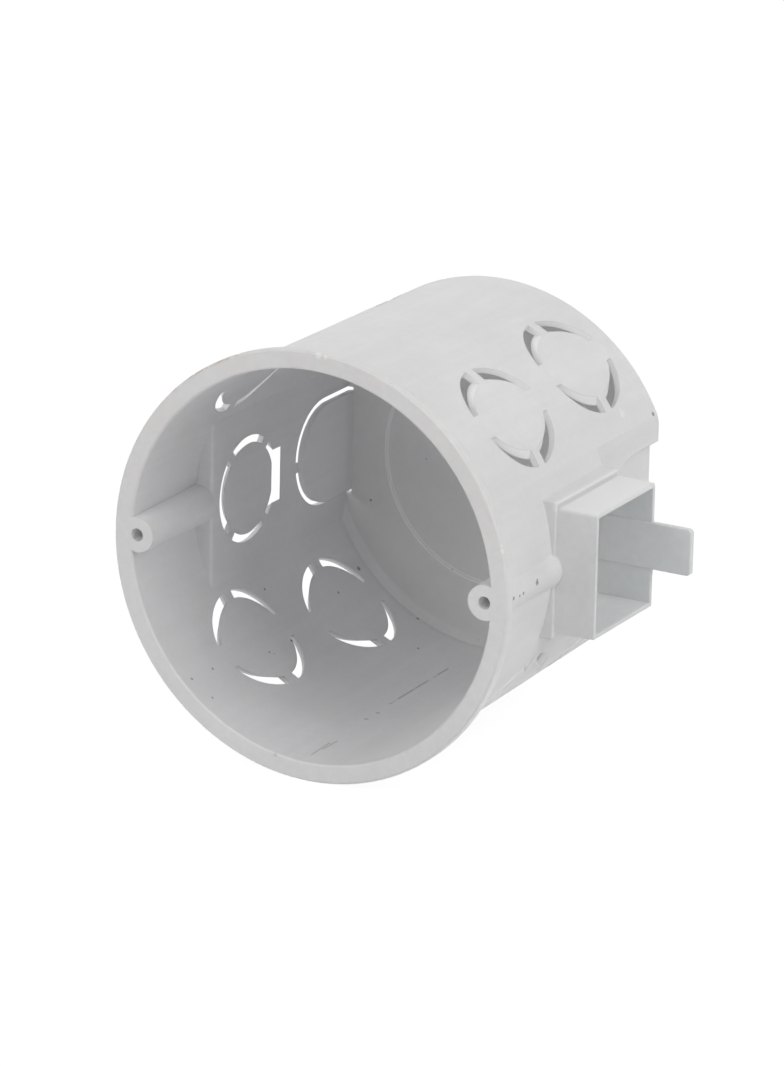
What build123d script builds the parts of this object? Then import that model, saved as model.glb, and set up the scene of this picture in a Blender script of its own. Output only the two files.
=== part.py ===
from build123d import *
from math import cos, radians, sin, sqrt, tan
import os

# Round flush mounting box for a wall switch or socket, moulded as one cup.
# X points towards the coupling socket, Y into the wall and Z up.
# The origin is the centre of the mouth, on the face of the rim. All sizes are in millimetres.

# Rim flange, flat from the mouth to its bevelled outer edge
rim_diameter = 68.0
rim_width = 3.0
rim_thickness = 1.5
rim_edge_bevel = 0.3
mouth_edge_bevel = 0.25

# Cup
wall = 1.0
draft_angle = 1.13
depth = 60.7
floor_thickness = 1.0
floor_bevel = 1.1
back_edge_bevel = 0.6

# Shallow round bed in the floor
floor_bed_diameter = 39.4
floor_bed_sink = 0.25

# Screw posts that straddle the wall, set in from the edge of the mouth
post_inset = 1.0
post_diameter = 5.6
post_draft = 0.9
pilot_diameter = 2.0
pilot_depth = 14.0

# Flat side panels behind a step in the wall
step_depth = 18.4
step_wall = 1.2
panel_inset = 2.5
panel_draft = 0.9
panel_wall = 1.0
panel_front_round = 0.5

# Coupling socket and the pad at its root, which stands out past the mouth
socket_front = 19.1
socket_width = 19.4
socket_height = 20.0
socket_length = 6.7
socket_wall = 0.8
socket_draft = 0.8
socket_edge_bevel = 0.2
socket_lip_bevel = 0.12
socket_root_sink = 0.3
pad_rise = 1.0
pad_margin_y = 0.5
pad_margin_z = 0.8
pad_edge_bevel = 0.2

# Coupling tongue, and the slot that takes the tongue of the next box
tongue_height = 7.4
tongue_thickness = 1.15
tongue_length = 6.8
tongue_corner_round = 0.7
tongue_edge_bevel = 0.15
tongue_slot_side_clearance = 0.65
tongue_slot_front_clearance = 1.1
tongue_slot_rear_clearance = 0.4
tongue_slot_rear_flare = 1.9
tongue_slot_side_flare = 0.8

# Round knock-outs in the curved wall, in a front and a rear row
# Their slots widen outwards: the wall's edge opens, and the disc, longer than wide, draws in at its sides
ring_radius = 8.9
ring_flare = 0.3
disc_half_length = 8.35
disc_half_width = 7.4
disc_side_bevel = 0.85
ring_side_web = 2.0
ring_end_web = 4.2
front_row_depth = 22.0
front_row_angle = 45.5
rear_row_from_back = 13.7
rear_row_angle = 50.1

# Round knock-out in the front of each panel, a little behind the middle of the socket
panel_ring_radius = 8.55
panel_ring_flare = 0.25
panel_ring_slot = 1.2
panel_disc_bevel = 0.9
panel_ring_web = 1.6
panel_ring_web_angle = 51.5
panel_ring_setback = 0.35

# Arched knock-out at the back of each panel: a plate that lies against the panel's inner face
# It is bevelled at the back, its slots run out through the floor's edge, and a web holds it near the apex
arch_half_width = 8.8
arch_slot = 0.65
arch_gap = 4.75
arch_plate_wall = 1.0
arch_back_bevel = 0.9
arch_web = 1.6
arch_web_drop = 0.7
arch_web_thickness = 0.6
arch_web_overlap = 0.3

# Values that follow from the sizes above
slope = tan(radians(draft_angle))
panel_slope = tan(radians(panel_draft))
mouth_diameter = rim_diameter - 2 * rim_width
mouth_radius = mouth_diameter / 2
inner_depth = depth - floor_thickness
recess_depth = step_depth + step_wall
post_radius = post_diameter / 2
screw_spacing = mouth_diameter - 2 * post_inset
panel_offset = mouth_radius - panel_inset
pad_offset = mouth_radius + pad_rise
socket_reach = pad_offset + socket_length
tongue_reach = socket_reach + tongue_length
socket_back = socket_front + socket_width
socket_middle = socket_front + socket_width / 2
pad_width = socket_width + 2 * pad_margin_y
pad_height = socket_height + 2 * pad_margin_z
pad_back = socket_back + pad_margin_y
tongue_slot_back = socket_back + tongue_slot_rear_clearance
arch_apex = tongue_slot_back + arch_gap
arch_centre = arch_apex + arch_half_width
far = rim_diameter
sides = (-1, 1)

# Run of a flared cut, in thicknesses of its wall from the wall's inside
cut_start = -0.5
cut_end = 2.5


def outer_radius(y):
    """Radius of the cup's outside at a depth."""
    return mouth_radius + wall - y * slope


def inner_radius(y):
    """Radius of the cup's inside at a depth."""
    return mouth_radius - y * slope


def panel_outside(y, inset=0.0):
    """Distance from the axis to a panel's outer face, or to a face set further in."""
    return panel_offset - inset - (y - step_depth) * panel_slope


def nearest_vertex(face, x, y):
    """Vertex of a flat outline that lies nearest to a point."""
    return face.vertices().sort_by_distance((x, y, 0))[0]


def outside_plane(side, start, end, inset=0.0):
    """Everything on one side of the box that lies outside a drafted plane, between two depths."""
    outline = Polyline(
        (side * panel_outside(start, inset), start),
        (side * far, start),
        (side * far, end),
        (side * panel_outside(end, inset), end),
        close=True,
    )
    return extrude(make_face(outline), amount=far, both=True)


def across(side, outline, start, end):
    """Outline with depth along its first axis, drawn out along X between two distances from the axis."""
    plane = Plane(origin=(side * start, 0, 0), x_dir=(0, 1, 0), z_dir=(side, 0, 0))
    return extrude(plane * outline, amount=end - start)


def cup_outside():
    """Outer form of the cup: rim flange, drafted body and bevelled back edge."""
    rim_radius = rim_diameter / 2
    outline = Polyline(
        (0, 0),
        (rim_radius, 0),
        (rim_radius, rim_thickness),
        (outer_radius(rim_thickness), rim_thickness),
        (outer_radius(depth), depth),
        (0, depth),
        close=True,
    )
    face = make_face(outline)
    face = chamfer(nearest_vertex(face, outer_radius(depth), depth), back_edge_bevel)
    face = chamfer(nearest_vertex(face, rim_radius, 0), rim_edge_bevel)
    return revolve(face, Axis.Y)


def cup_inside():
    """Space in the cup: bevelled mouth edge, drafted wall, bevelled floor corner and the bed in the floor."""
    bed_radius = floor_bed_diameter / 2
    outline = Polyline(
        (0, 0),
        (inner_radius(0) + mouth_edge_bevel, 0),
        (inner_radius(mouth_edge_bevel), mouth_edge_bevel),
        (inner_radius(inner_depth), inner_depth),
        (bed_radius, inner_depth),
        (bed_radius, inner_depth + floor_bed_sink),
        (0, inner_depth + floor_bed_sink),
        close=True,
    )
    face = make_face(outline)
    face = chamfer(nearest_vertex(face, inner_radius(inner_depth), inner_depth), floor_bevel)
    return revolve(face, Axis.Y)


def post_seat(side):
    """Plane at the front of a screw post, facing into the box."""
    return Plane(origin=(side * screw_spacing / 2, 0, 0), z_dir=(0, 1, 0))


def screw_post(side, length):
    """Drafted round post for a device screw, from the rim to a depth."""
    root_radius = post_radius + length * tan(radians(post_draft))
    post = Cone(post_radius, root_radius, length, align=(Align.CENTER, Align.CENTER, Align.MIN))
    return post_seat(side) * post


def pilot_hole(side):
    """Blind hole for a device screw."""
    hole = Cylinder(pilot_diameter / 2, pilot_depth, align=(Align.CENTER, Align.CENTER, Align.MIN))
    return post_seat(side) * hole


def panel_room(side):
    """Everything outside the inner face of a panel, behind the rounded edge of its step."""
    room = outside_plane(side, step_depth, depth, panel_wall)
    step_corner = (side * panel_outside(step_depth, panel_wall), step_depth, 0)
    step_edge = room.edges().filter_by(Axis.Z).sort_by_distance(step_corner)[0]
    return fillet(step_edge, panel_front_round)


def socket_pad():
    """Raised pad at the root of the coupling socket."""
    outline = Pos(socket_middle, 0) * Rectangle(pad_width, pad_height)
    pad = across(1, outline, panel_outside(pad_back), pad_offset)
    return chamfer(pad.faces().sort_by(Axis.X)[-1].edges(), pad_edge_bevel)


def socket_opening(start, end):
    """Straight opening of the coupling socket between two distances from the axis."""
    opening = Rectangle(socket_width - 2 * socket_wall, socket_height - 2 * socket_wall)
    return across(1, Pos(socket_middle, 0) * opening, start, end)


def coupling_socket():
    """Short rectangular tube with drafted walls and bevelled edges, its root sunk into the pad."""
    outline = Pos(socket_middle, 0) * Rectangle(socket_width, socket_height)
    root = Plane(origin=(pad_offset - socket_root_sink, 0, 0), x_dir=(0, 1, 0), z_dir=(1, 0, 0))
    tube = extrude(root * outline, amount=socket_length + socket_root_sink, taper=socket_draft)
    long_edges = tube.edges().filter_by(lambda edge: edge.bounding_box().size.X > socket_length)
    tube = chamfer(long_edges, socket_edge_bevel)
    tube -= socket_opening(panel_offset, socket_reach + socket_wall)
    return chamfer(tube.faces().sort_by(Axis.X)[-1].edges(), socket_lip_bevel)


def coupling_tongue():
    """Flat tongue that carries on from the rear wall of the socket."""
    front = socket_back - tongue_thickness
    outline = Pos(front, 0) * Rectangle(tongue_thickness, tongue_height, align=(Align.MIN, Align.CENTER))
    tongue = across(1, outline, panel_outside(socket_back), tongue_reach)
    end_corners = tongue.edges().filter_by(Axis.Y).group_by(Axis.X)[-1]
    tongue = fillet(end_corners, tongue_corner_round)
    long_edges = tongue.edges().filter_by(Axis.X)
    end_face = tongue.faces().sort_by(Axis.X)[-1]
    return chamfer(long_edges + end_face.edges(), tongue_edge_bevel)


def flared_slots(radius, flare, disc, bevel, webs, thickness):
    """Ring of slots round a disc, which widen outwards through a wall whose inside is at height zero.

    The disc and its bevel each have a length and a width: half sizes on the inside of the wall,
    and what they lose through its thickness. The webs that hold the disc are pairs of an angle and a width.
    """
    height = (cut_end - cut_start) * thickness
    low = Pos(0, 0, cut_start * thickness)
    disc_base = (Align.CENTER, Align.CENTER, Align.MIN)
    web_base = (Align.MIN, Align.CENTER, Align.MIN)
    slots = low * Cone(radius + cut_start * flare, radius + cut_end * flare, height, align=disc_base)
    sections = []
    for share in (cut_start, cut_end):
        outline = Ellipse(disc[0] - share * bevel[0], disc[1] - share * bevel[1])
        sections.append(Pos(0, 0, share * thickness) * outline)
    slots -= loft(sections, ruled=True)
    for angle, width in webs:
        slots -= low * Rot(0, 0, angle) * Box(2 * radius, width, height, align=web_base)
    return slots


def wall_plane(angle, y):
    """Plane across a knock-out in the curved wall, level with the inside of the wall at the disc's sides."""
    radius = sqrt(inner_radius(y) ** 2 - disc_half_width ** 2)
    turn = radians(angle)
    origin = (radius * cos(turn), y, radius * sin(turn))
    return Plane(origin=origin, x_dir=(0, 1, 0), z_dir=(cos(turn), 0, sin(turn)))


def wall_knock_outs():
    """Slots of the round knock-outs in the curved wall."""
    webs = [(0, ring_end_web), (90, ring_side_web), (180, ring_end_web), (270, ring_side_web)]
    disc = (disc_half_length, disc_half_width)
    slots = flared_slots(ring_radius, ring_flare, disc, (0, disc_side_bevel), webs, wall)
    cuts = []
    for row_angle, y in ((front_row_angle, front_row_depth), (rear_row_angle, depth - rear_row_from_back)):
        for angle in (row_angle, 180 - row_angle, 180 + row_angle, 360 - row_angle):
            cuts.append(wall_plane(angle, y) * slots)
    return cuts


def panel_plane(side, y):
    """Plane on the inside of a panel with depth along its first axis, facing outwards."""
    origin = (side * panel_outside(y, panel_wall), y, 0)
    return Plane(origin=origin, x_dir=(0, 1, 0), z_dir=(side, 0, 0))


def panel_knock_out(side):
    """Slots of the round knock-out in a panel."""
    turn = panel_ring_web_angle
    webs = [(angle, panel_ring_web) for angle in (turn, 180 - turn, 180 + turn, 360 - turn)]
    disc_radius = panel_ring_radius - panel_ring_slot
    disc = (disc_radius, disc_radius)
    bevel = (panel_disc_bevel, panel_disc_bevel)
    slots = flared_slots(panel_ring_radius, panel_ring_flare, disc, bevel, webs, panel_wall)
    return panel_plane(side, socket_middle + panel_ring_setback) * slots


def tongue_slot():
    """Slot in the left panel that takes the tongue of the next box, flared outwards at its rear and sides."""
    front = socket_back - tongue_thickness - tongue_slot_front_clearance
    sections = []
    for share in (cut_start, cut_end):
        width = tongue_slot_back - front + share * tongue_slot_rear_flare
        height = tongue_height + 2 * (tongue_slot_side_clearance + share * tongue_slot_side_flare)
        outline = Rectangle(width, height, align=(Align.MIN, Align.CENTER))
        sections.append(Pos(0, 0, share * panel_wall) * outline)
    return panel_plane(-1, front) * loft(sections, ruled=True)


def arch(half_width, end):
    """Arch with its round apex towards the mouth, drawn with depth along the first axis."""
    legs = Rectangle(end - arch_centre, 2 * half_width, align=(Align.MIN, Align.CENTER))
    return Pos(arch_centre, 0) * (Circle(half_width) + legs)


def arch_opening(side):
    """Opening round an arched knock-out, in the panel and the edge of the floor."""
    column = across(side, arch(arch_half_width, depth + wall), 0, far)
    return column & outside_plane(side, 0, depth + wall, panel_wall + arch_plate_wall)


def arch_plate(side):
    """Arched knock-out plate, joined to the floor and held by a thin web near its apex."""
    column = across(side, arch(arch_half_width - arch_slot, depth), 0, far)
    plate = column & outside_plane(side, 0, depth, panel_wall + arch_plate_wall)
    plate -= outside_plane(side, 0, depth, panel_wall)
    back_corner = (side * panel_outside(depth, panel_wall), depth, 0)
    back_edge = plate.edges().filter_by(Axis.Z).sort_by_distance(back_corner)[0]
    plate = chamfer(back_edge, arch_back_bevel)
    bridge_start = arch_apex - arch_web_overlap
    bridge = Rectangle(arch_slot + 2 * arch_web_overlap, arch_web, align=(Align.MIN, Align.CENTER))
    web = across(side, Pos(bridge_start, -side * arch_web_drop) * bridge, 0, far)
    web &= outside_plane(side, 0, depth, panel_wall)
    web -= outside_plane(side, 0, depth, panel_wall - arch_web_thickness)
    return plate + web


def mounting_box():
    """The whole box: outer form less its inside, then the socket, the knock-outs and the screw holes."""
    outside = cup_outside()
    inside = cup_inside()
    outside -= outside_plane(-1, recess_depth, depth + wall)
    outside -= outside_plane(1, pad_back, depth + wall)
    outside += socket_pad()
    for side in sides:
        outside += screw_post(side, recess_depth)
        inside -= panel_room(side)
        inside -= screw_post(side, step_depth)
    box = outside - inside
    box += coupling_socket()
    box -= socket_opening(0, socket_reach) & outside_plane(1, 0, depth)
    box += coupling_tongue()
    for side in sides:
        box -= pilot_hole(side)
        box -= arch_opening(side)
        box += arch_plate(side)
    box -= panel_knock_out(1) & socket_opening(0, socket_reach)
    box -= panel_knock_out(-1)
    box -= tongue_slot()
    box -= wall_knock_outs()
    return box


os.makedirs("parts", exist_ok=True)
export_step(mounting_box(), "parts/mounting_box.step")
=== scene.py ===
from collections import namedtuple
from math import cos, pi, radians, sin

import bpy
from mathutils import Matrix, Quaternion, Vector


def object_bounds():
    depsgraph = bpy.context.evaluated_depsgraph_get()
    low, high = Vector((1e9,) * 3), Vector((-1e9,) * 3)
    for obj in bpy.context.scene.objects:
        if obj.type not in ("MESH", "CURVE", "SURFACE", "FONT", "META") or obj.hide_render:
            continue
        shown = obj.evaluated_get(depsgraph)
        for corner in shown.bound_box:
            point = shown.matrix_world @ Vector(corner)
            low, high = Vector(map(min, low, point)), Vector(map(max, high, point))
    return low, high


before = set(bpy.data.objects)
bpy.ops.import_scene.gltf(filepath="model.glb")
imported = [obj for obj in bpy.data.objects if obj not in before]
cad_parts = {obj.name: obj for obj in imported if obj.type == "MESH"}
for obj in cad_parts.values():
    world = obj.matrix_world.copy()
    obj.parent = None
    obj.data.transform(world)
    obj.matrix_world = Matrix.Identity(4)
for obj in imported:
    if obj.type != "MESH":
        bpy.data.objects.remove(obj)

# A round flush mounting box of white moulded plastic, seen into its mouth from the upper right.
# The frame is in metres. Sizes of patterns and marks on the plastic are in millimetres.
cad_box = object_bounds()
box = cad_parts["mounting_box"]
millimetres_per_metre = 1000.0

# Camera
view_target = Vector((-0.00216, 0.03, -0.00308))
view_distance = 1.1158
view_azimuth = 28.56
view_elevation = 18.21
view_roll = 1.256
view_lens = 244.5

# Studio
floor_size = 8.0
floor_tone = (0.88, 0.88, 0.88, 1.0)
floor_shadow_tone = (0.15, 0.15, 0.15, 1.0)
floor_glow = 0.93
white = (1.0, 1.0, 1.0, 1.0)

# Lamps: azimuth from the mouth towards the socket, elevation, width, height and brightness
lamp_distance = 1.2
strong_light = 3.5
middle_light = 1.3
weak_light = 0.45
studio_lamps = {
    "left_lamp": (-35.0, 30.0, 0.7, 0.5, strong_light),
    "front_lamp": (0.0, 30.0, 0.7, 0.5, middle_light),
    "high_front_lamp": (0.0, 55.0, 0.8, 0.5, weak_light),
    "side_lamp": (80.0, 30.0, 0.8, 0.6, strong_light),
    "high_side_lamp": (70.0, 60.0, 0.8, 0.6, middle_light),
    "top_lamp": (0.0, 88.0, 0.8, 0.8, weak_light),
    "back_left_lamp": (-120.0, 45.0, 0.9, 0.9, middle_light),
    "back_lamp": (155.0, 32.0, 0.8, 0.6, middle_light),
}

# Box sizes that the finish follows
rim_radius = 34.0
rim_thickness = 1.5
mouth_radius = 31.0
wall = 1.0
wall_slope = 0.0197
inner_depth = 59.7
bed_radius = 19.7
panel_height = 15.0
post_reach = 30.0
pilot_radius = 1.0
pilot_depth = 14.0
pad_reach = 32.0
socket_front = 19.1
socket_back = 38.5
socket_top = 10.0
socket_wall = 0.8

# Colours of the plastic, its dirt, and its painted light and shade
plastic_tone = (0.84, 0.84, 0.84, 1.0)
plastic_light = (0.93, 0.93, 0.925, 1.0)
bright_tone = (0.96, 0.96, 0.955, 1.0)
# bluish painted shade on the cup's inside and the socket's inside
inside_shade_tint = (0.995, 0.995, 1.008, 1.0)
socket_shade_tint = (1.0, 1.025, 1.03, 1.0)
rim_tint = (1.01, 0.985, 0.98, 1.0)
# painted shade for slot walls, the floor and the socket's crease
painted_shade_tone = (0.72, 0.72, 0.72, 1.0)
grime_tone = (0.30, 0.285, 0.265, 1.0)
rust_tone = (0.46, 0.27, 0.13, 1.0)

# Surface of the plastic
edge_width = 0.00025
edge_samples = 4
gloss_level = 0.4
rust_roughness = 0.3
grain_strength = 0.12
grain_depth = 0.0001

# Strengths of the dirt, the wear and the painted light and shade
floor_shade_strength = 0.4
socket_top_light_strength = 0.8
socket_crease_shade_strength = 0.8
edge_wear_and_highlight_strength = 0.5
rust_strength = 0.5
brown_spot_strength = 0.3
bottom_line_strength = 0.55
faint_mark_strength = 0.45
stray_speck_strength = 0.5

# Marks on the plastic: spots as a centre and a size, lines as two ends and a width
rust_angle = 127.0
brown_spot = ((-5.2, 0.0, -30.7), 0.5)
bottom_line = ((-0.9, 47.0, -30.1), (-1.1, 28.5, -30.4), 0.28)
bottom_dots = (
    ((-0.8, 24.2, -30.5), 0.5),
    ((-1.0, 20.9, -30.6), 0.5),
)
mouth_scratches = (
    ((-0.7, 3.2, -30.9), (-0.8, 9.1, -30.8), 0.2),
    ((-0.4, 6.2, -30.9), (-0.2, 10.4, -30.8), 0.2),
)
wall_specks = (
    ((-22.3, 56.2, -19.9), 0.5),
    ((-21.2, 47.7, -21.3), 0.3),
    ((-12.5, 58.2, -27.1), 0.35),
    ((-8.0, 50.2, -28.9), 0.3),
    ((-19.2, 29.3, -23.6), 0.35),
    ((-19.4, 22.7, -23.6), 0.25),
    ((-25.3, 31.3, -16.8), 0.3),
    ((-21.2, 8.3, -22.4), 0.3),
    ((-21.4, 2.4, -22.3), 0.3),
    ((-18.2, 3.2, -25.0), 0.25),
)
floor_specks = (
    ((-22.3, inner_depth, -9.4), 0.3),
    ((-10.6, inner_depth, -16.4), 0.2),
    ((-5.0, inner_depth, -13.1), 0.25),
    ((-7.3, inner_depth, -18.3), 0.2),
)
post_specks = (
    ((32.85, 3.4, -0.15), 0.5),
    ((32.85, 4.0, 0.1), 0.4),
    ((32.9, 5.9, -0.05), 0.3),
    ((32.9, 7.05, 0.05), 0.35),
    ((32.95, 11.3, 0.5), 0.55),
    ((32.95, 11.5, 0.9), 0.35),
)
back_corner_speck = ((27.7, 58.9, 13.6), 0.5)
rim_chips = (
    ((1.0, 0.1, 33.7), 0.7),
    ((2.3, 0.1, 33.6), 0.5),
    ((32.9, 0.1, 8.6), 0.6),
    ((32.7, 0.2, 9.4), 0.4),
)

# A place on the box, its parts, its height above or below the axis, its direction from the axis and its radius.
# The radius at the mouth follows the wall's slope to the mouth, so it is the same all along the round wall.
Coordinates = namedtuple("Coordinates", "place x y z height outward radius radius_at_mouth")


def new_material(name):
    """Material with an empty node tree apart from its output."""
    material = bpy.data.materials.new(name)
    material.use_nodes = True
    material.node_tree.nodes.clear()
    output = material.node_tree.nodes.new("ShaderNodeOutputMaterial")
    return material, material.node_tree, output


def add_node(tree, kind, settings=None, inputs=None):
    """Node with its settings and inputs; an input that is a socket is linked, and any other is set."""
    node = tree.nodes.new(kind)
    for key, value in (settings or {}).items():
        setattr(node, key, value)
    for key, value in (inputs or {}).items():
        if isinstance(value, bpy.types.NodeSocket):
            tree.links.new(value, node.inputs[key])
        else:
            node.inputs[key].default_value = value
    return node


def number(tree, operation, *values):
    """Result of one step of arithmetic on numbers or sockets."""
    return add_node(tree, "ShaderNodeMath", {"operation": operation}, dict(enumerate(values))).outputs[0]


def vector(tree, operation, *values):
    """Result of one step of arithmetic on vectors or sockets, which may be a number."""
    node = add_node(tree, "ShaderNodeVectorMath", {"operation": operation}, dict(enumerate(values)))
    return node.outputs["Value" if operation in ("LENGTH", "DISTANCE", "DOT_PRODUCT") else "Vector"]


def scaled(tree, value, factor):
    """Vector times a number."""
    node = add_node(tree, "ShaderNodeVectorMath", {"operation": "SCALE"}, {0: value, "Scale": factor})
    return node.outputs[0]


def ramp(tree, value, start, end, low=0.0, high=1.0):
    """Smooth step of a value from one level to another between two limits."""
    inputs = dict(enumerate((value, start, end, low, high)))
    return add_node(tree, "ShaderNodeMapRange", {"interpolation_type": "SMOOTHSTEP"}, inputs).outputs[0]


def noise(tree, place, scale, detail=2.0, roughness=0.5):
    """Soft random pattern with so many blots to the millimetre."""
    inputs = {"Vector": place, "Scale": scale, "Detail": detail, "Roughness": roughness}
    return add_node(tree, "ShaderNodeTexNoise", None, inputs).outputs[0]


def patches(tree, place, scale, start, end, low=0.0, high=1.0, detail=2.0, roughness=0.5):
    """Soft random patches that go from one level to another between two limits of the pattern."""
    return ramp(tree, noise(tree, place, scale, detail, roughness), start, end, low, high)


def blend(tree, share, under, over, kind="MIX"):
    """Colour laid over another by a share."""
    settings = {"data_type": "RGBA", "blend_type": kind}
    return add_node(tree, "ShaderNodeMix", settings, {0: share, 6: under, 7: over}).outputs[2]


def product(tree, *masks):
    """Masks multiplied together."""
    result = masks[0]
    for mask in masks[1:]:
        result = number(tree, "MULTIPLY", result, mask)
    return result


def strongest(tree, masks):
    """Largest of some masks."""
    result = masks[0]
    for mask in masks[1:]:
        result = number(tree, "MAXIMUM", result, mask)
    return result


def spot(tree, place, centre, size):
    """Soft round mark on the plastic."""
    return ramp(tree, vector(tree, "DISTANCE", place, centre), size, 0.4 * size)


def spots(tree, place, marks):
    """Soft round marks, each with its centre and size."""
    return strongest(tree, [spot(tree, place, centre, size) for centre, size in marks])


def stroke(tree, place, start, end, width):
    """Soft straight mark between two points."""
    along = Vector(end) - Vector(start)
    from_start = vector(tree, "SUBTRACT", place, start)
    share = number(tree, "DIVIDE", vector(tree, "DOT_PRODUCT", from_start, along), along.length_squared)
    clamped = add_node(tree, "ShaderNodeClamp", None, {0: share}).outputs[0]
    nearest = scaled(tree, along, clamped)
    return ramp(tree, vector(tree, "DISTANCE", from_start, nearest), width, 0.3 * width)


def plastic_coordinates(tree):
    """Coordinates on the box that the finish follows, in millimetres."""
    place = scaled(tree, add_node(tree, "ShaderNodeTexCoord").outputs["Object"], millimetres_per_metre)
    x, y, z = add_node(tree, "ShaderNodeSeparateXYZ", None, {0: place}).outputs
    height = number(tree, "ABSOLUTE", z)
    outward = vector(tree, "MULTIPLY", place, (1.0, 0.0, 1.0))
    radius = vector(tree, "LENGTH", outward)
    radius_at_mouth = number(tree, "ADD", radius, number(tree, "MULTIPLY", y, wall_slope))
    return Coordinates(place, x, y, z, height, outward, radius, radius_at_mouth)


def inside_mask(tree, at):
    """Mask of the cup's inside, which fades out towards the mouth."""
    within_wall = ramp(tree, at.radius_at_mouth, mouth_radius + 0.6 * wall, mouth_radius + 0.3 * wall)
    return product(tree, within_wall, ramp(tree, at.y, 0.2, 3.0))


def moulded_tone(tree, at):
    """White plastic with soft clouds, fine mottle and streaks along the wall."""
    clouds = patches(tree, at.place, scale=0.05, start=0.3, end=0.7, low=0.975, high=1.02, detail=3.0)
    mottle = patches(
        tree, at.place, scale=0.9, start=0.3, end=0.7, low=0.985, high=1.01, detail=4.0, roughness=0.65
    )
    drawn_out = vector(tree, "MULTIPLY", at.place, (1.0, 0.06, 1.0))
    streaks = patches(tree, drawn_out, scale=0.55, start=0.35, end=0.7, low=0.985, high=1.01, detail=3.0)
    return scaled(tree, plastic_tone[:3], product(tree, clouds, mottle, streaks))


def tinted(tree, at, inside, colour):
    """Painted bluish shade on the cup's inside and the socket's inside, and a tint on the upper part of the
    rim's face.
    """
    # painted bluish shade on the cup's inside, then inside the socket
    colour = blend(tree, inside, colour, inside_shade_tint, "MULTIPLY")
    ceiling = socket_top - socket_wall
    inner_front = socket_front + socket_wall
    in_socket = product(
        tree,
        ramp(tree, at.x, pad_reach - 0.5, pad_reach + 0.5),
        ramp(tree, at.height, ceiling + 0.15, ceiling - 0.1),
        ramp(tree, at.y, inner_front - 0.2, inner_front + 0.2),
    )
    colour = blend(tree, in_socket, colour, socket_shade_tint, "MULTIPLY")
    rim_face = product(
        tree,
        ramp(tree, at.y, 0.5, 0.1),
        ramp(tree, at.z, -12.0, 22.0),
        patches(tree, at.place, scale=0.12, start=0.3, end=0.65),
    )
    return blend(tree, rim_face, colour, rim_tint, "MULTIPLY")


def slot_walls(tree, at, colour):
    """Slot walls of the knock-outs in the round wall painted pale as painted light, with painted shade on the
    inside of the lower left ones.
    """
    # pale slot walls: painted light
    in_wall = product(
        tree,
        ramp(tree, at.radius_at_mouth, mouth_radius + 0.05, mouth_radius + 0.12),
        ramp(tree, at.radius_at_mouth, mouth_radius + wall - 0.05, mouth_radius + wall - 0.12),
        ramp(tree, at.y, rim_thickness + 1.0, rim_thickness + 2.0),
        ramp(tree, at.height, panel_height, panel_height + 0.5),
    )
    # painted shade on the inside of the lower left slot walls
    slot_shade = product(
        tree,
        ramp(tree, at.radius_at_mouth, mouth_radius + 0.7 * wall, mouth_radius + 0.25 * wall),
        ramp(tree, at.z, 1.0, -1.0),
        ramp(tree, at.x, 1.0, -1.0),
    )
    return blend(tree, in_wall, colour, blend(tree, slot_shade, bright_tone, painted_shade_tone))


def floor_painted_shade(tree, at, inside, colour):
    """Painted shade on the lower left of the floor."""
    # the floor's lower left painted darker: painted shade
    near_floor = ramp(tree, at.y, inner_depth - 3.0, inner_depth - 1.0)
    lower_left = ramp(tree, number(tree, "ADD", at.x, at.z), 0.0, -22.0)
    return blend(tree, product(tree, inside, near_floor, lower_left, floor_shade_strength), colour, painted_shade_tone)


def painted_light_places(tree, at, inside, colour):
    """Painted light on the socket's top, the lower right of the inside and the lower side of the flange."""
    # socket's top, inside's lower right and flange's lower side painted paler: painted light
    on_socket = product(
        tree,
        ramp(tree, at.x, pad_reach - 1.0, pad_reach),
        ramp(tree, at.z, socket_top - 0.7, socket_top - 0.3),
        ramp(tree, at.y, socket_front - 2.1, socket_front - 1.1),
        ramp(tree, at.y, socket_back + 1.5, socket_back + 0.5),
        socket_top_light_strength,
    )
    lower_right = product(tree, inside, ramp(tree, at.x, 4.0, 16.0), ramp(tree, at.z, -2.0, -14.0))
    colour = blend(tree, strongest(tree, [on_socket, lower_right]), colour, plastic_light)
    flange_side = product(
        tree,
        ramp(tree, at.radius, rim_radius - 0.3, rim_radius - 0.1),
        ramp(tree, at.y, rim_thickness + 0.5, rim_thickness + 0.1),
        ramp(tree, at.z, -5.0, -15.0),
    )
    return blend(tree, flange_side, colour, bright_tone)


def socket_crease_shade(tree, at, colour):
    """Painted shade along the line where the socket's top meets its pad."""
    front_end = (pad_reach + 0.1, socket_front + 0.2, socket_top + 0.1)
    back_end = (pad_reach + 0.1, socket_back - 0.2, socket_top + 0.1)
    # painted shade in the crease between the socket's top and its pad
    line = stroke(tree, at.place, front_end, back_end, width=0.55)
    return blend(tree, product(tree, line, socket_crease_shade_strength), colour, painted_shade_tone)


def pale_lines(tree, at, colour):
    """Painted light along a line round the floor's bed, and lighter insides of the pilot holes."""
    from_bed_edge = number(tree, "ABSOLUTE", number(tree, "SUBTRACT", at.radius, bed_radius))
    # painted light round the edge of the floor's bed
    bed_edge_highlight = product(
        tree,
        ramp(tree, from_bed_edge, 0.4, 0.15),
        ramp(tree, at.y, inner_depth - 0.4, inner_depth - 0.1),
        ramp(tree, at.y, inner_depth + 0.6, inner_depth + 0.4),
    )
    from_post_axis = vector(tree, "DISTANCE", vector(tree, "ABSOLUTE", at.outward), (post_reach, 0.0, 0.0))
    in_pilot = product(
        tree,
        ramp(tree, from_post_axis, pilot_radius + 0.1, pilot_radius),
        ramp(tree, at.y, 0.3, 0.8),
        ramp(tree, at.y, pilot_depth + 1.0, pilot_depth + 0.5),
    )
    return blend(tree, strongest(tree, [bed_edge_highlight, in_pilot]), colour, bright_tone)


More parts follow.
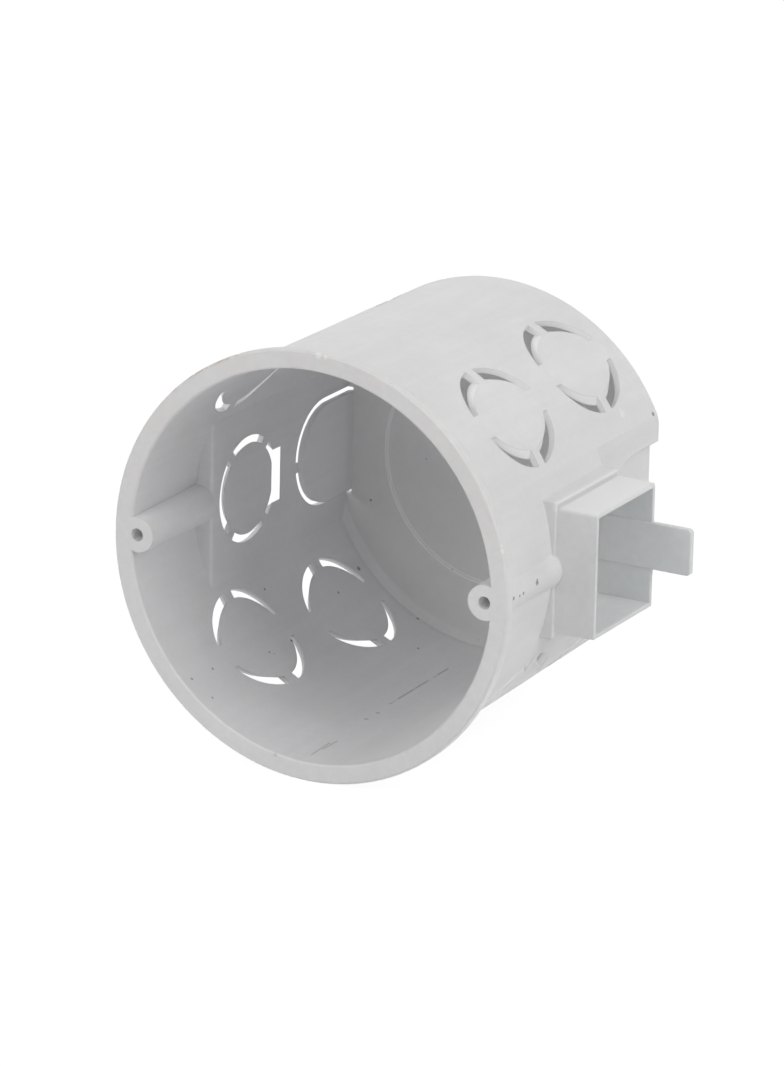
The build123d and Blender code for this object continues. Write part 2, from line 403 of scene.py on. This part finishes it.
def worn_and_highlit_edges(tree, at, edge_normal, colour):
    """Handled edges, a little lighter where the rounded normal turns away from the true one: wear and a painted
    highlight.
    """
    true_normal = add_node(tree, "ShaderNodeNewGeometry").outputs["Normal"]
    turned = vector(tree, "DOT_PRODUCT", edge_normal, true_normal)
    scuffed = patches(tree, at.place, scale=0.7, start=0.3, end=0.7, low=0.3, detail=4.0, roughness=0.7)
    # edges painted lighter: wear and painted highlight
    wear_and_highlight = product(tree, ramp(tree, turned, 0.995, 0.85), scuffed, edge_wear_and_highlight_strength)
    return blend(tree, wear_and_highlight, colour, plastic_light)


def rim_rust(tree, at):
    """Mask of the rust-brown dirt on the rim: its outer edge, mostly at the upper left, and one spot."""
    rim_edge = product(
        tree,
        ramp(tree, at.radius, rim_radius - 0.45, rim_radius - 0.1),
        ramp(tree, at.y, rim_thickness, 0.3),
    )
    upper_left = Vector((cos(radians(rust_angle)), 0.0, sin(radians(rust_angle))))
    towards_rust = number(tree, "DIVIDE", vector(tree, "DOT_PRODUCT", at.outward, upper_left), at.radius)
    dirty_stretch = ramp(tree, towards_rust, 0.955, 0.99, low=0.12)
    patchy = patches(tree, at.place, scale=0.45, start=0.42, end=0.6, detail=4.0, roughness=0.7)
    edge_rust = product(tree, rim_edge, dirty_stretch, patchy, rust_strength)
    spot_rust = product(tree, spot(tree, at.place, *brown_spot), brown_spot_strength)
    return strongest(tree, [edge_rust, spot_rust])


def pale_chips(tree, at):
    """Mask of the small pale chips in the rim."""
    ragged = patches(tree, at.place, scale=2.0, start=0.35, end=0.55, detail=3.0)
    return product(tree, spots(tree, at.place, rim_chips), ragged)


def dark_marks(tree, at):
    """Mask of the dark specks, the faint scratches and the broken line of dirt along the cup's bottom."""
    broken = patches(tree, at.place, scale=0.35, start=0.38, end=0.55, detail=4.0, roughness=0.7)
    line = product(tree, stroke(tree, at.place, *bottom_line), broken, bottom_line_strength)
    scratches = [stroke(tree, at.place, *scratch) for scratch in mouth_scratches]
    scratches_and_dots = strongest(tree, [spots(tree, at.place, bottom_dots), *scratches])
    faint = product(tree, scratches_and_dots, faint_mark_strength)
    uneven = patches(tree, at.place, scale=0.5, start=0.3, end=0.5, low=0.6, high=0.95, detail=3.0)
    specks = spots(tree, at.place, (*wall_specks, *floor_specks, *post_specks, back_corner_speck))
    return strongest(tree, [line, faint, product(tree, specks, uneven)])


def stray_specks(tree, at):
    """Mask of the tiny dark specks strewn over the whole box, one in some of the cells of a loose grid."""
    cells = add_node(tree, "ShaderNodeTexVoronoi", None, {"Vector": at.place, "Scale": 0.16})
    chance = add_node(tree, "ShaderNodeSeparateColor", None, {0: cells.outputs["Color"]}).outputs[0]
    dot = ramp(tree, cells.outputs["Distance"], 0.05, 0.02)
    return product(tree, dot, ramp(tree, chance, 0.55, 0.9), stray_speck_strength)


def fine_grain(tree, at, edge_normal):
    """Normal with the plastic's fine grain and shallow waves."""
    waves = number(tree, "MULTIPLY", noise(tree, at.place, scale=0.4), 2.0)
    grain = number(tree, "ADD", noise(tree, at.place, scale=5.0), waves)
    inputs = {"Strength": grain_strength, "Distance": grain_depth, "Height": grain, "Normal": edge_normal}
    return add_node(tree, "ShaderNodeBump", None, inputs).outputs[0]


def plastic_material():
    """White moulded plastic with handled and highlighted edges, painted light and shade, specks, and rust-brown
    dirt on the rim.
    """
    material, tree, output = new_material("white_plastic")
    at = plastic_coordinates(tree)
    inside = inside_mask(tree, at)
    rounding = add_node(tree, "ShaderNodeBevel", {"samples": edge_samples}, {"Radius": edge_width})
    edge_normal = rounding.outputs[0]
    rust = rim_rust(tree, at)

    colour = moulded_tone(tree, at)
    # the steps below add painted shade and painted light as well as dirt and wear
    colour = tinted(tree, at, inside, colour)
    colour = slot_walls(tree, at, colour)
    colour = floor_painted_shade(tree, at, inside, colour)
    colour = painted_light_places(tree, at, inside, colour)
    colour = socket_crease_shade(tree, at, colour)
    colour = pale_lines(tree, at, colour)
    colour = worn_and_highlit_edges(tree, at, edge_normal, colour)
    colour = blend(tree, rust, colour, rust_tone)
    colour = blend(tree, pale_chips(tree, at), colour, bright_tone)
    colour = blend(tree, strongest(tree, [dark_marks(tree, at), stray_specks(tree, at)]), colour, grime_tone)

    sheen = patches(
        tree, at.place, scale=0.3, start=0.3, end=0.7, low=0.36, high=0.5, detail=4.0, roughness=0.6
    )
    inputs = {
        "Base Color": colour,
        "Roughness": number(tree, "ADD", sheen, number(tree, "MULTIPLY", rust, rust_roughness)),
        "Normal": fine_grain(tree, at, edge_normal),
        "Specular IOR Level": gloss_level,
    }
    shader = add_node(tree, "ShaderNodeBsdfPrincipled", None, inputs)
    tree.links.new(shader.outputs[0], output.inputs["Surface"])
    return material


def background_rays(tree):
    """Share of 1 on the rays that see the background: the camera's, reflected and transmitted ones."""
    path = add_node(tree, "ShaderNodeLightPath").outputs
    return strongest(tree, [path["Is Camera Ray"], path["Is Glossy Ray"], path["Is Transmission Ray"]])


def floor_material():
    """Pale floor that the camera sees almost white, with the box's soft shadow on it."""
    material, tree, output = new_material("studio_floor")
    pale = add_node(tree, "ShaderNodeBsdfDiffuse", None, {"Color": floor_tone}).outputs[0]
    shadow = add_node(tree, "ShaderNodeBsdfDiffuse", None, {"Color": floor_shadow_tone}).outputs[0]
    glow = add_node(tree, "ShaderNodeEmission", None, {"Color": white, "Strength": floor_glow}).outputs[0]
    seen = add_node(tree, "ShaderNodeAddShader", None, {0: shadow, 1: glow}).outputs[0]
    mix = add_node(tree, "ShaderNodeMixShader", None, {0: background_rays(tree), 1: pale, 2: seen})
    tree.links.new(mix.outputs[0], output.inputs["Surface"])
    return material


def studio_floor():
    """Large flat floor at the lowest point of the rim."""
    bpy.ops.object.select_all(action="DESELECT")
    bpy.ops.mesh.primitive_plane_add(size=floor_size, location=(0, 0, cad_box[0][2]))
    floor = bpy.context.object
    floor.name = "studio_floor"
    floor.data.materials.append(floor_material())
    bpy.ops.object.transform_apply()


def studio_sky():
    """Dark surroundings between the lamps, white where the camera and reflections see them."""
    world = bpy.data.worlds.new("studio_sky")
    world.use_nodes = True
    tree = world.node_tree
    tree.nodes.clear()
    output = add_node(tree, "ShaderNodeOutputWorld")
    inputs = {"Color": white, "Strength": background_rays(tree)}
    background = add_node(tree, "ShaderNodeBackground", None, inputs)
    tree.links.new(background.outputs[0], output.inputs["Surface"])
    bpy.context.scene.world = world


def direction_from(azimuth, elevation):
    """Direction from the box at an azimuth from the mouth towards the socket, and an elevation."""
    turn = radians(azimuth)
    rise = radians(elevation)
    return Vector((sin(turn) * cos(rise), -cos(turn) * cos(rise), sin(rise)))


def soft_lamp(name, azimuth, elevation, width, height, brightness):
    """Large lamp that faces the box."""
    light = bpy.data.lights.new(name, "AREA")
    light.shape = "RECTANGLE"
    light.size = width
    light.size_y = height
    light.energy = brightness * pi * width * height
    lamp = bpy.data.objects.new(name, light)
    bpy.context.scene.collection.objects.link(lamp)
    towards = direction_from(azimuth, elevation)
    lamp.location = view_target + lamp_distance * towards
    lamp.rotation_euler = (-towards).to_track_quat("-Z", "Y").to_euler()


def studio_camera():
    """Camera at the photograph's viewing angle."""
    towards = direction_from(view_azimuth, view_elevation)
    data = bpy.data.cameras.new("studio_camera")
    data.lens = view_lens
    camera = bpy.data.objects.new("studio_camera", data)
    bpy.context.scene.collection.objects.link(camera)
    camera.location = view_target + view_distance * towards
    level = (-towards).to_track_quat("-Z", "Y")
    camera.rotation_euler = (level @ Quaternion((0, 0, 1), radians(view_roll))).to_euler()
    bpy.context.scene.camera = camera


box.data.materials.clear()
box.data.materials.append(plastic_material())
studio_floor()
studio_sky()
for lamp_name, lamp_setting in studio_lamps.items():
    soft_lamp(lamp_name, *lamp_setting)
studio_camera()
bpy.context.scene.view_settings.view_transform = "Standard"
